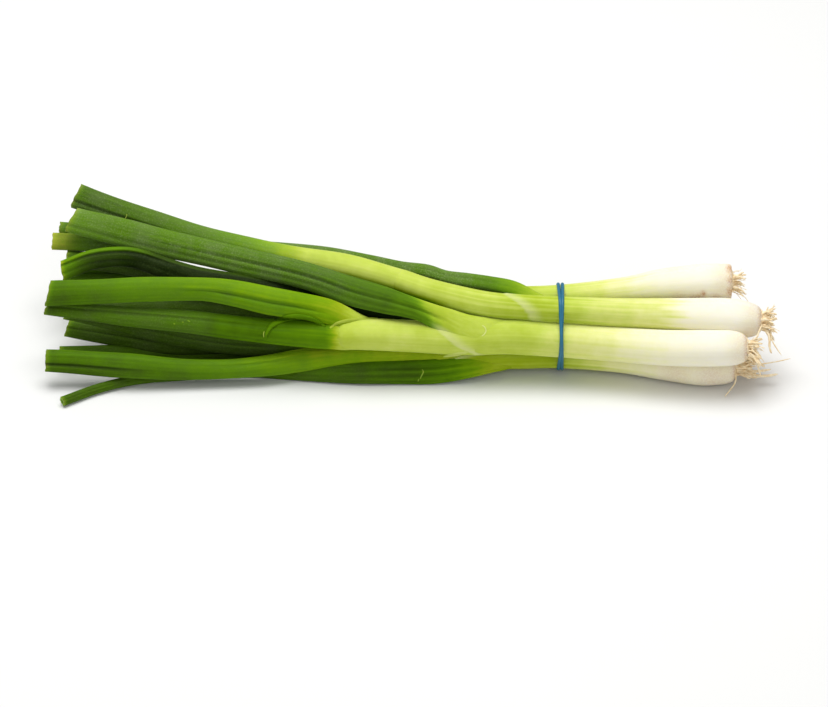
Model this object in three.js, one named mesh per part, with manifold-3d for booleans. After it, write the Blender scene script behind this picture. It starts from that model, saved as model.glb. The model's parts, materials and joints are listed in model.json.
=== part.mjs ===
// A bunch of six spring onions lying on a table, held by a rubber band wound round it twice.
// Millimetres, +Z up. The bulbs and roots point to +X, the cut leaf ends to -X. The table is the plane z = 0.
//
// The onions cross and lean on each other, so their routes are laid out as an eye sees them that stands in
// front of the bunch (at -Y) and looks down on it: "along" the bunch, "up" across that view, and "back" into
// it. "Along" and "up" are measured in the plane back = 0, as the eye sees them there.
import * as THREE from "three";
import { mergeVertices } from "three/addons/utils/BufferGeometryUtils.js";
import Module from "manifold-3d";

const wasm = await Module();
wasm.setup();

// Driving dimensions
const LOOK_DOWN = THREE.MathUtils.degToRad(35); // how far the eye of the layout looks down on the table
const EYE_DISTANCE = 2000; // from the plane back = 0
const EYE_LEVEL = 12.6; // the "up" that the eye looks straight at
const ORIGIN_SHIFT = new THREE.Vector3(-1.27, -25.26, 0); // puts the middle of the bunch over the origin
const GAP = 0.3; // the clearance kept where two pieces press on each other
const SHANK_SIDES = 13;
const LEAF_SIDES = 10;
const ROOT_SIDES = 4;
const DETAIL = 1.6; // stations swept for each station given in a route
const LEAF_WALL = 1.0; // a leaf is a hollow tube, open where it was cut
const MOUTH_DEPTH = 24; // how deep a cut leaf's hollow is modelled
const BAND_AT = 62.2; // where along the bunch the rubber band sits
const BAND_GAP = 0.5; // the stems bend a little within its width
const BAND_STRAND = 1.6; // thickness of the rubber band's strand
const BAND_SPREAD = 1.4; // how far each of its two turns strays to its side
const BAND_CROSSING = 0.345; // share of the way round, from the back over the top, at which its turns cross
const BAND_SIDES = 6;
const BAND_STEPS = 26; // in one turn
const PLATE_THICK = 1.6; // the root plate, a hard disc on the end of each bulb
const PLATE_INSET = 0.4; // how much smaller in radius the plate is than the end of the bulb
const ROOT_RADIUS = 0.6;
const PLATE_TAPER = 0.85; // its outer face's radius over its inner one's
const ROOTS_PER_ONION = 14;
const ROOT_LENGTH = [3, 8];

// Colours
const SHANK_COLOUR = 0xd9e59a;
const LEAF_COLOUR = 0x4c8a2a;
const ROOT_COLOUR = 0xd9b98a;
const BAND_COLOUR = 0x2f86b8;

// Each shank runs from the middle of its root plate to its topmost collar: [along, up, back, radius].
// Each leaf runs from its collar to its cut end: [along, up, back, half width]. "flat" is its thickness over
// its width at the collar and at the cut end, "turn" leans its wide face back from the eye, in degrees, and
// "slant" is how much further the lower edge of the cut reaches than the upper one, per millimetre of width.
const ONIONS = [
  {
    name: "onion_1", // the thick one in front
    shank: [
      [142, 14.8, -16.3, 5.4], [140.5, 14.8, -16.3, 6.8], [135, 14.9, -16.2, 7.5], [123, 14.8, -16, 7.6],
      [106, 15, -14, 7.5], [84, 16.6, -10.5, 7.3], [62.8, 18.5, -8.5, 7.4], [40, 20, -8, 7.5],
      [20, 19, -8, 7.2], [0, 19.8, -8.5, 7], [-20, 20.8, -9, 7], [-30, 20.4, -9, 6.4],
    ],
    leaves: [
      { route: [[34, 22.5, -10.5, 4.2], [20, 25.8, -13, 5], [6, 30.4, -14.5, 5.2], [-8, 34.2, -13.5, 6.2],
        [-27, 39.5, -9.5, 6.2], [-49, 46.4, -1, 5.8], [-92, 56.3, 10.5, 5.9], [-122, 63.5, 15.5, 6.2],
        [-147, 70, 18.5, 5.6]], flat: [0.5, 0.42], turn: 0, slant: 0.25 },
      { route: [[-24, 25.5, -9.5, 4], [-36, 30, -11.5, 5.4], [-49, 33, -13, 5.6], [-62, 35.2, -13, 6],
        [-78, 38.4, -12.5, 5.6], [-92, 40.2, -12, 5], [-113, 40, -11, 5.3], [-135, 39.2, -10, 5.3],
        [-157, 38.2, -9, 5.5]], flat: [0.6, 0.5], turn: 0, slant: 0.28 },
      { route: [[-30.5, 20, -9, 6], [-44, 21, -9, 6], [-62, 22, -8.5, 5.4], [-92, 25.6, -7.5, 5],
        [-126, 28.8, -6.5, 4.2], [-158, 32, -5, 2.8]], flat: [0.85, 0.5], turn: 0, slant: 0.2 },
    ],
  },
  {
    name: "onion_2", // above it, the longest
    strands: [[[149, 29, -9], [152, 24, -10.5], [153, 18, -11.5], [157, 11.6, -12]]],
    shank: [
      [148, 26.5, -8, 5.6], [146.5, 26.6, -8, 6.8], [142, 27, -8, 7.8], [132, 28, -8, 8.2],
      [114, 28.8, -8.5, 7.3], [88, 29.8, -9.2, 6.3], [62.8, 31.2, -9.7, 5.8], [45, 32.3, -9.5, 5.7],
      [28, 34, -8.5, 5.8], [7, 39, -6.5, 5.5], [-6, 43.2, -4.5, 5.6],
    ],
    leaves: [
      { route: [[51, 36, -8.5, 3.4], [42, 40.2, -8, 3.6], [32, 42.3, -6.5, 3.5], [22, 43.9, -4.5, 3.4],
        [13, 45.4, -2.4, 3], [5, 47.7, 0, 3.2], [-6, 49.4, 3, 2.8], [-20, 52.2, 6.5, 3],
        [-40, 55.2, 11.5, 3.5], [-70, 57.4, 19, 4], [-105, 59, 23.5, 4.2], [-155, 60.6, 27, 3.9]],
        flat: [0.7, 0.6], turn: 20, slant: 0 },
      { route: [[-6.6, 43.4, -4.4, 5.4], [-27, 49, 0, 5.7], [-49, 53, 5.5, 5.2], [-70, 57.4, 11, 4.8],
        [-92, 62.6, 16, 5], [-113, 69, 19.5, 5.2], [-135, 76.4, 22, 5.4], [-145, 80, 23, 5.6]],
        flat: [0.9, 0.5], turn: 0, slant: 0.1 },
    ],
  },
  {
    name: "onion_3", // the top one, behind
    shank: [
      [135.4, 43.3, 3, 6.2], [134, 43.3, 3, 7], [123, 43.3, 3, 7.5], [106, 41.9, 2.5, 6.8],
      [89, 39.6, 1.5, 5.4], [62.8, 36.8, 0, 5.2], [40, 36.2, 3, 5.2], [18, 37, 6.5, 5],
    ],
    leaves: [
      { route: [[17, 37.6, 7, 4.6], [0, 43.5, 13, 4], [-25, 50, 20, 4], [-50, 54.4, 25, 4],
        [-100, 62, 28.5, 3.6], [-152, 66.6, 31, 2.6]], flat: [0.9, 0.55], turn: 20, slant: 0 },
      { route: [[17.4, 34, 8.5, 4], [0, 37, 12.5, 4], [-25, 39, 16, 4], [-50, 40, 18, 4],
        [-76, 41.6, 21, 4.2], [-100, 45.4, 23.5, 4.4], [-125, 50.4, 25.5, 4.3], [-149, 53.4, 26.5, 4]],
        flat: [0.8, 0.6], turn: 30, slant: 0 },
      { route: [[17.4, 31, 12, 3.6], [0, 29, 18, 3.8], [-30, 24.6, 25, 4], [-60, 21.6, 27, 4],
        [-90, 21, 27.4, 4], [-120, 22.8, 29.6, 3.8], [-146, 25.8, 33, 3.6]],
        flat: [0.8, 0.6], turn: 55, slant: 0 },
    ],
  },
  {
    name: "onion_4", // the lower front one, resting on the table
    strands: [
      [[138, 9, -3.5], [146, 8, -3.2], [154, 9, -2], [161, 10.5, -1]],
      [[137.5, 4, -4.5], [137, 0, -6.5], [134.5, -3.5, -8], [132.5, -6, -9.6]],
      [[138, 6, -3.4], [146, 5.4, -3.6], [155.5, 4.4, -3.8]],
    ],
    shank: [
      [137, 6.9, -3.4, 5.4], [135.5, 6.9, -3.4, 6.6], [130, 6.8, -3.4, 7.4], [122, 6.7, -3.4, 7.6],
      [106, 8.2, -1.5, 6.8], [88, 10.4, 1, 6], [62.8, 12, 3, 5.6], [45, 11.8, 2.5, 5.6], [28, 11.6, 1.5, 5.4],
      [10, 12.4, 0.5, 4.6],
    ],
    leaves: [
      { route: [[34, 9, 0, 4.4], [22, 7.4, -1, 5.6], [8, 5.7, -0.8, 6], [-8, 5, -1, 5.6], [-24, 4.7, -1.4, 5],
        [-46, 4.9, 0.6, 4.2], [-62, 5.5, 3.4, 3.9], [-80, 6.4, 5.6, 3.7], [-120, 9.2, 9, 3.5],
        [-146, 10, 9, 3]], flat: [0.6, 0.45], turn: 0, slant: 0 },
      { route: [[9.4, 12.6, 0.4, 4.6], [-8, 12.8, -0.4, 4.4], [-28, 12, -1, 4.4], [-49, 9.6, -1.6, 4.9],
        [-64, 7.4, -3.6, 4.5], [-80, 5.9, -4.6, 4.2], [-100, 5.9, -5.6, 4.6], [-122, 7.2, -6.4, 5.4],
        [-144, 8.9, -6.8, 5.1], [-158, 9.5, -7, 4.8]], flat: [0.9, 0.5], turn: 0, slant: 0 },
      { route: [[-42, 5.6, 0.6, 1.6], [-60, 4.6, 0.2, 2], [-80, 4, 0, 2.1], [-100, 3, -0.6, 2.1],
        [-118, 1.5, -2.4, 2.1], [-135, -2.2, -6.9, 2.1], [-151, -7.9, -15, 2.1]],
        flat: [0.8, 0.8], turn: 0, slant: 0 },
    ],
  },
  {
    name: "onion_5", // in the middle of the bunch
    shank: [
      [131, 30.8, 10.8, 5.2], [129.5, 30.8, 10.8, 6.4], [124, 30.6, 10.6, 7.2], [114, 30, 10, 7.2],
      [96, 28, 7.5, 6.2], [62.8, 25.3, 3, 5.4], [30, 24.5, 3.5, 5.2], [-4, 25.5, 3.5, 5],
    ],
    leaves: [
      { route: [[-4.6, 27, 3.4, 4.6], [-23, 31.4, 3.6, 4.4], [-58, 38.6, 4.5, 4.4], [-75, 41.6, 5.5, 4.4],
        [-92, 44.6, 7, 4.5], [-106, 49, 8.5, 4.5], [-118, 53, 10, 4.4], [-127, 54, 11, 4.3],
        [-139, 51.6, 12, 4.3], [-151, 47.4, 13, 4.3]], flat: [0.8, 0.5], turn: 0, slant: 0.2 },
      { route: [[-4.6, 22, 3.6, 4.2], [-25, 18, 4.5, 4.2], [-53, 15.6, 5, 4.3], [-75, 16.2, 4.4, 4.4],
        [-96, 19, 3, 4.4], [-120, 24, 1.6, 4], [-142, 28.6, 0.6, 3], [-150, 29.8, 0.2, 2.6]],
        flat: [0.8, 0.5], turn: 0, slant: 0 },
      { route: [[-4.6, 23.6, 8, 3.4], [-25, 21.5, 10.5, 4], [-50, 19, 11.5, 4.2], [-80, 16.8, 10, 4.3],
        [-105, 16.6, 8.8, 4.3], [-126, 19.6, 8.4, 4.2], [-149, 23.4, 7.6, 3.6]],
        flat: [0.8, 0.5], turn: 0, slant: 0.15 },
    ],
  },
  {
    name: "onion_6", // the lower back one, resting on the table
    shank: [
      [134, 15.8, 9.7, 5.2], [132.5, 15.8, 9.7, 6.4], [127, 15.8, 9.8, 7.4], [118, 15.8, 9.8, 7.5],
      [98, 16.8, 10.6, 6.4], [62.8, 18.8, 12, 5.3], [30, 18.4, 13, 5.2], [0, 18, 14, 5],
    ],
    leaves: [
      { route: [[-0.6, 16, 13.6, 3.8], [-25, 14.6, 14.6, 3.8], [-60, 13.8, 14.4, 4], [-100, 13.8, 11.6, 3.8],
        [-130, 13, 8, 3.4], [-152, 13, 3.6, 2.8]], flat: [0.8, 0.6], turn: 10, slant: 0 },
      { route: [[-0.6, 21, 13.4, 3.8], [-25, 26.4, 14, 4], [-60, 30.4, 14, 4.2], [-90, 32.6, 13.6, 4.2],
        [-120, 32.4, 13, 3.8], [-149, 30.6, 12.6, 3]], flat: [0.8, 0.55], turn: 10, slant: 0 },
      { route: [[-0.6, 19.6, 17.6, 3.6], [-25, 25, 21.5, 3.8], [-60, 34, 25.5, 4.2], [-100, 42, 29.5, 4.4],
        [-128, 45.6, 31.5, 4.3], [-149, 46, 32.5, 4]], flat: [0.8, 0.6], turn: 30, slant: 0 },
    ],
  },
];

// The order in which pieces give way: each one is dented by all that come before it.
const CUT_ORDER = [
  "onion_1_leaf_1", "onion_1_leaf_2", "onion_1_leaf_3", "onion_2_leaf_2", "onion_2_leaf_1", "onion_4_leaf_2",
  "onion_4_leaf_1", "onion_5_leaf_1", "onion_5_leaf_2", "onion_5_leaf_3", "onion_4_leaf_3", "onion_6_leaf_1",
  "onion_6_leaf_2", "onion_6_leaf_3", "onion_3_leaf_2", "onion_3_leaf_1", "onion_3_leaf_3",
];

// The eye's three directions in the part's frame.
const ALONG = new THREE.Vector3(1, 0, 0);
const UP = new THREE.Vector3(0, Math.sin(LOOK_DOWN), Math.cos(LOOK_DOWN));
const BACK = new THREE.Vector3(0, Math.cos(LOOK_DOWN), -Math.sin(LOOK_DOWN));

function placed([along, up, back]) {
  const spread = 1 + back / EYE_DISTANCE;
  return ORIGIN_SHIFT.clone()
    .addScaledVector(ALONG, along * spread)
    .addScaledVector(UP, EYE_LEVEL + (up - EYE_LEVEL) * spread)
    .addScaledVector(BACK, back);
}

function smooth(points) {
  return new THREE.CatmullRomCurve3(points, false, "catmullrom", 0.5);
}

function widthAlong(route) {
  const widths = smooth(route.map((station) => new THREE.Vector3(station[3], 0, 0)));
  return (t) => widths.getPoint(t).x;
}

function solidOf(geometry) {
  geometry.deleteAttribute("normal");
  geometry.deleteAttribute("uv");
  const merged = mergeVertices(geometry, 1e-4);
  return new wasm.Manifold(new wasm.Mesh({
    numProp: 3,
    vertProperties: merged.attributes.position.array,
    triVerts: new Uint32Array(merged.index.array),
  }));
}

// A closed round bar bent by spotAt(t, angle, share), which says where the point goes that is at t, 0 to 1
// along the bar, at an angle round it, and at a share, 0 or 1, of the way out from its middle.
function bentBar(sides, steps, spotAt) {
  const bar = new THREE.CylinderGeometry(1, 1, 1, sides, steps);
  const { position } = bar.attributes;
  for (let i = 0; i < position.count; i++) {
    const [x, y, z] = [position.getX(i), position.getY(i), position.getZ(i)];
    const spot = spotAt(y + 0.5, Math.atan2(-x, z), Math.round(Math.hypot(x, z)));
    position.setXYZ(i, spot.x, spot.y, spot.z);
  }
  return solidOf(bar);
}

// A bar along a route. outline(t, angle) gives a point of its outline as [across the eye's view, out towards
// the eye, on along the route], and turn leans that outline round the route.
function swept(route, sides, steps, turn, outline) {
  const path = smooth(route.map(placed));
  return bentBar(sides, steps, (t, angle, share) => {
    const tangent = path.getTangent(t);
    const across = BACK.clone().cross(tangent).normalize();
    const out = across.clone().cross(tangent);
    across.applyAxisAngle(tangent, turn);
    out.applyAxisAngle(tangent, turn);
    const [a, o, on] = outline(t, angle);
    return path.getPoint(t)
      .addScaledVector(across, a * share)
      .addScaledVector(out, o * share)
      .addScaledVector(tangent, on * share);
  });
}

function stepsOf(route) {
  return Math.round((route.length - 1) * DETAIL);
}

// Where a grown copy reaches past the ends of its piece, so that it clears them too.
function pastEnds(t, grow) {
  if (t === 0) return -grow;
  return t === 1 ? grow : 0;
}

function shankSolid({ shank }, grow = 0) {
  const radius = widthAlong(shank);
  return swept(shank, SHANK_SIDES, stepsOf(shank), 0, (t, angle) => {
    const r = radius(t) + grow;
    return [r * Math.cos(angle), r * Math.sin(angle), pastEnds(t, grow)];
  });
}

function leafSolid({ route, flat, turn, slant }, grow = 0) {
  const halfWidth = widthAlong(route);
  return swept(route, LEAF_SIDES, stepsOf(route), THREE.MathUtils.degToRad(turn), (t, angle) => {
    const wide = halfWidth(t);
    const across = (wide + grow) * Math.cos(angle);
    const out = (wide * THREE.MathUtils.lerp(flat[0], flat[1], t) + grow) * Math.sin(angle);
    return [across, out, pastEnds(t, grow) - (t === 1 ? slant * across : 0)];
  });
}

// The hollow of a leaf, from its blind end to a little past the cut.
function mouthSolid({ route, flat, turn }) {
  const path = smooth(route.map(([along, up, back]) => new THREE.Vector3(along, up, back)));
  const halfWidth = widthAlong(route);
  const length = path.getLength();
  const stations = [MOUTH_DEPTH, MOUTH_DEPTH / 2, 0].map((inside) => {
    const t = path.getUtoTmapping(1 - inside / length);
    return [...path.getPoint(t), halfWidth(t) - LEAF_WALL];
  });
  const [, before, cut] = stations;
  const pastCut = cut.map((value, i) => value + (i < 3 ? (value - before[i]) / 4 : 0));
  const thinner = flat[1] * 0.8;
  return leafSolid({ route: [...stations, pastCut], flat: [thinner, thinner], turn, slant: 0 });
}

// Numbers from 0 to 1 that look random and are the same each time.
function seeded(seed) {
  let state = seed;
  return () => {
    state = (state * 1664525 + 1013904223) % 4294967296;
    return state / 4294967296;
  };
}

function rootSolid(route, radius) {
  const tip = 0.55; // its radius there, as a share
  return swept(route, ROOT_SIDES, route.length - 1, 0, (t, angle) => {
    const r = radius * THREE.MathUtils.lerp(1, tip, t);
    return [r * Math.cos(angle), r * Math.sin(angle), 0];
  });
}

// The root plate of one onion with its dried roots, each sunk into it. They splay more towards the rim.
function rootsSolid(onion, seed) {
  const random = seeded(seed);
  const [end, inner] = onion.shank.map(([along, up, back]) => new THREE.Vector3(along, up, back));
  const outward = end.clone().sub(inner).normalize();
  const down = new THREE.Vector3(0, -Math.cos(LOOK_DOWN), Math.sin(LOOK_DOWN));
  const plateRadius = onion.shank[0][3] - PLATE_INSET;
  const plate = [GAP, PLATE_THICK].map((away) => [...end.clone().addScaledVector(outward, away)]);
  let solid = swept(plate, SHANK_SIDES, 1, 0, (t, angle) => {
    const r = plateRadius * THREE.MathUtils.lerp(1, PLATE_TAPER, t);
    return [r * Math.cos(angle), r * Math.sin(angle), 0];
  });
  for (let i = 0; i < ROOTS_PER_ONION; i++) {
    const angle = 2 * Math.PI * random();
    const rim = Math.sqrt(random());
    const sideways = new THREE.Vector3(0, Math.cos(angle), Math.sin(angle));
    const start = end.clone().addScaledVector(outward, PLATE_THICK / 2)
      .addScaledVector(sideways, rim * (plateRadius - 2.5 * ROOT_RADIUS));
    const length = THREE.MathUtils.lerp(...ROOT_LENGTH, random());
    const splay = 0.2 + 0.9 * rim * random();
    const sag = 0.25 * random();
    const reached = (share) => start.clone()
      .addScaledVector(outward, length * share)
      .addScaledVector(sideways, length * splay * share ** 2)
      .addScaledVector(down, length * sag * share ** 3);
    const radius = ROOT_RADIUS * THREE.MathUtils.lerp(0.8, 1.2, random());
    solid = solid.add(rootSolid([0, 0.6, 1].map((share) => [...reached(share)]), radius));
  }
  for (const strand of onion.strands ?? []) solid = solid.add(rootSolid(strand, ROOT_RADIUS));
  return solid;
}

// The rubber band: one loop that goes round the stems twice and crosses itself in front. Each turn is swept
// along the line of a string pulled tight round the stems.
function bandSolid() {
  const bandX = BAND_AT + ORIGIN_SHIFT.x;
  const stems = ONIONS.map(({ shank }) => {
    const path = smooth(shank.map(placed));
    const miss = (t) => Math.abs(path.getPoint(t).x - bandX);
    const t = Array.from({ length: 400 }, (_, i) => i / 400).reduce((a, b) => (miss(a) < miss(b) ? a : b));
    return { centre: path.getPoint(t).setX(0), radius: widthAlong(shank)(t) };
  });
  const outline = Array.from({ length: 360 }, (_, degrees) => {
    const facing = new THREE.Vector3(0, 1, 0).applyAxisAngle(ALONG, THREE.MathUtils.degToRad(degrees));
    const reach = (stem) => stem.centre.dot(facing) + stem.radius;
    const outermost = stems.reduce((a, b) => (reach(a) > reach(b) ? a : b));
    return outermost.centre.clone().addScaledVector(facing, outermost.radius + BAND_GAP + BAND_STRAND / 2);
  });
  const tight = new THREE.CatmullRomCurve3(outline, true, "catmullrom", 0);
  tight.arcLengthDivisions = 4 * outline.length;
  const lap = 0.01; // each turn runs on into the other by this share of its length, each way
  const [first, second] = [1, -1].map((side) => bentBar(BAND_SIDES, BAND_STEPS, (t, angle, share) => {
    const way = THREE.MathUtils.lerp(-lap, 1 + lap, t);
    const spot = tight.getPointAt(THREE.MathUtils.euclideanModulo(way, 1));
    const out = tight.getTangentAt(THREE.MathUtils.euclideanModulo(way, 1)).cross(ALONG);
    const fromCrossing = way - BAND_CROSSING;
    const stray = -side * BAND_SPREAD * Math.sin(fromCrossing * Math.PI);
    const over = side < 0 ? BAND_STRAND * 0.6 * Math.exp(-((fromCrossing / 0.05) ** 2)) : 0;
    const r = (share * BAND_STRAND) / 2;
    return spot.addScaledVector(ALONG, bandX + stray - r * Math.cos(angle))
      .addScaledVector(out, over + r * Math.sin(angle));
  }));
  return first.add(second);
}

// What a solid keeps when the pieces made before it, with the clearance, are cut out of it.
const made = [];
function dented(solid) {
  const rest = made.reduce((left, cutter) => left.subtract(cutter), solid);
  return rest.decompose().reduce((a, b) => (a.volume() > b.volume() ? a : b));
}

const bunch = new THREE.Group();

function addPiece(name, solid, color, roughness) {
  const { vertProperties, triVerts } = solid.getMesh();
  const geometry = new THREE.BufferGeometry();
  geometry.setAttribute("position", new THREE.BufferAttribute(vertProperties, 3));
  geometry.setIndex(new THREE.BufferAttribute(triVerts, 1));
  const mesh = new THREE.Mesh(geometry, new THREE.MeshStandardMaterial({ color, roughness, metalness: 0 }));
  mesh.name = name;
  bunch.add(mesh);
}

// What would reach below the table is cut off flat, so the bunch rests on small flat spots.
const TABLE = solidOf(new THREE.BoxGeometry(600, 400, 40).translate(0, 0, -20));

for (const onion of ONIONS) {
  addPiece(onion.name + "_shank", dented(shankSolid(onion).subtract(TABLE)), SHANK_COLOUR, 0.45);
  made.push(shankSolid(onion, GAP));
}

addPiece("rubber_band", bandSolid(), BAND_COLOUR, 0.5);

for (const name of CUT_ORDER) {
  const onion = ONIONS.find((o) => name.startsWith(o.name));
  const leaf = onion.leaves[Number(name.at(-1)) - 1];
  addPiece(name, dented(leafSolid(leaf).subtract(mouthSolid(leaf)).subtract(TABLE)), LEAF_COLOUR, 0.5);
  made.push(leafSolid(leaf, GAP));
}

ONIONS.forEach((onion, i) => {
  addPiece(onion.name + "_roots", dented(rootsSolid(onion, i + 1).subtract(TABLE)), ROOT_COLOUR, 0.8);
});

export default bunch;
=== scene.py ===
import math

import bpy
import numpy as np
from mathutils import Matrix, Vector
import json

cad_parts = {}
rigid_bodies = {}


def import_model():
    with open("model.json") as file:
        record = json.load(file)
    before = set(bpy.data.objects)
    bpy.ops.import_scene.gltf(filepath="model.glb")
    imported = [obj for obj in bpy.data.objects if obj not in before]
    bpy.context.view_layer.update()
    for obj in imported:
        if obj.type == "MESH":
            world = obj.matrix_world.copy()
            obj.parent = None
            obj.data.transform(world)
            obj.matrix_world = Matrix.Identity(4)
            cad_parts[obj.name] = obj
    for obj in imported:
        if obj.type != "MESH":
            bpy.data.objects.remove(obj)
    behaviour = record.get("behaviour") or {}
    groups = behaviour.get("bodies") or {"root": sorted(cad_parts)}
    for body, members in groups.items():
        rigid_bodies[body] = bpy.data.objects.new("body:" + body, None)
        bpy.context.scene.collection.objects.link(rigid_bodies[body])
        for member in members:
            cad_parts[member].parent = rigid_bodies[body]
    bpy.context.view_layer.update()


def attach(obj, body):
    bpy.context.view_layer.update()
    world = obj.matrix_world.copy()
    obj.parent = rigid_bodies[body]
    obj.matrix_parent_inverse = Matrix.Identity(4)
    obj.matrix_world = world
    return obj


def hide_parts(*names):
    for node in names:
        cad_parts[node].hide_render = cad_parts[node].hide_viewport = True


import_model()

# The table top
# A smooth white board under the bunch, lit so brightly that it shows only the soft shadow near the bunch. It
# reaches past the picture on all sides.
TABLE_WIDTH = 8  # m
TABLE_BELOW = 0.0002  # m under the floor that the bunch rests on, so that no two faces lie in one plane

bpy.ops.object.select_all(action="DESELECT")
bpy.ops.mesh.primitive_grid_add(
    x_subdivisions=8, y_subdivisions=8, size=TABLE_WIDTH, location=(0, 0, -TABLE_BELOW)
)
table_top = bpy.context.object
bpy.ops.object.transform_apply(location=True)
table_top.name = "table_top"


def linear(colour):
    """The linear colour of an sRGB hex value."""
    parts = [int(colour[i : i + 2], 16) / 255 for i in (1, 3, 5)]
    return (*[p / 12.92 if p <= 0.04045 else ((p + 0.055) / 1.055) ** 2.4 for p in parts], 1)


def new_material(name):
    """A material named for its finish, with its surface and the links of its nodes."""
    made = bpy.data.materials.new(name)
    made.use_nodes = True
    return made, made.node_tree.nodes["Principled BSDF"], made.node_tree.links


def add_node(material, kind, settings, inputs, output=0):
    """Adds a node with its settings and gives back one of its outputs. Each input is a value, or the output
    that feeds it."""
    added = material.node_tree.nodes.new(kind)
    for key, value in settings.items():
        setattr(added, key, value)
    for key, value in inputs.items():
        if isinstance(value, bpy.types.NodeSocket):
            material.node_tree.links.new(value, added.inputs[key])
        else:
            added.inputs[key].default_value = value
    return added.outputs[output]


# The Mix node's sockets for numbers and colours share their names, so it is wired by their places.
FACTOR, COLOUR_A, COLOUR_B = 0, 6, 7
MIXED_COLOUR = 2

# Painted board: a matt white that a sheen of dust keeps from being even.
white_board, surface, links = new_material("white_painted_board")
surface.inputs["Roughness"].default_value = 0.85
surface.inputs["Specular IOR Level"].default_value = 0.2
place = add_node(white_board, "ShaderNodeTexCoord", {}, {}, "Object")
cloudy = add_node(white_board, "ShaderNodeTexNoise", {}, {"Vector": place, "Scale": 4, "Detail": 2}, "Fac")
tint = add_node(
    white_board,
    "ShaderNodeMix",
    {"data_type": "RGBA"},
    {FACTOR: cloudy, COLOUR_A: linear("#E5E5E3"), COLOUR_B: linear("#E8E8E7")},
    MIXED_COLOUR,
)
links.new(tint, surface.inputs["Base Color"])
table_top.data.materials.append(white_board)

# Camera
# It stands in front of the bunch, 2 m away with a long lens, and looks 35 degrees down on it. A pixel of the
# 828 by 707 frame is 0.428 mm in the plane through the front of the bunch.
LOOK_DOWN = math.radians(35)
EYE_DISTANCE = 2000  # mm, as all lengths below
EYE_LEVEL = 12.6  # how far above the layout's origin the middle of the picture is
EYE_LEFT = 0.4  # and how far to the left of it
PIXEL = 0.428
FRAME_WIDTH = 828  # pixels
SENSOR_WIDTH = 36
ORIGIN_SHIFT = np.array([-1.27, -25.26, 0])  # where the layout's origin is in the part's frame
UP = np.array([0, math.sin(LOOK_DOWN), math.cos(LOOK_DOWN)])
BACK = np.array([0, math.cos(LOOK_DOWN), -math.sin(LOOK_DOWN)])
MM = 0.001

lens = bpy.data.cameras.new("camera")
lens.sensor_width = SENSOR_WIDTH
lens.lens = SENSOR_WIDTH * EYE_DISTANCE / (FRAME_WIDTH * PIXEL)
lens.clip_start = 0.05
lens.clip_end = 20
eye = bpy.data.objects.new("camera", lens)
bpy.context.collection.objects.link(eye)
eye_spot = Vector((ORIGIN_SHIFT + UP * EYE_LEVEL - BACK * EYE_DISTANCE) * MM)
eye.location = eye_spot - Vector((EYE_LEFT * MM, 0, 0))
eye.rotation_euler = (math.radians(90) - LOOK_DOWN, 0, 0)
bpy.context.scene.camera = eye

# Studio light
# A wide soft box overhead and a little behind, a second one in front, and white walls all round.
for name, spot, width, power in (
    ("soft_box_above", (-0.1, 0.14, 1.2), 0.95, 15.2),
    ("soft_box_front", (0.35, -1.3, 0.9), 1.0, 4.2),
):
    lamp = bpy.data.lights.new(name, "AREA")
    lamp.shape = "SQUARE"
    lamp.size = width
    lamp.energy = power
    stand = bpy.data.objects.new(name, lamp)
    bpy.context.collection.objects.link(stand)
    stand.location = spot
    stand.rotation_euler = Vector(spot).to_track_quat("Z", "Y").to_euler()
walls = bpy.data.worlds.new("white_walls")
walls.use_nodes = True
walls.node_tree.nodes["Background"].inputs["Color"].default_value = linear("#FFFFFF")
walls.node_tree.nodes["Background"].inputs["Strength"].default_value = 0.39
bpy.context.scene.world = walls
bpy.context.scene.view_settings.view_transform = "Standard"

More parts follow.
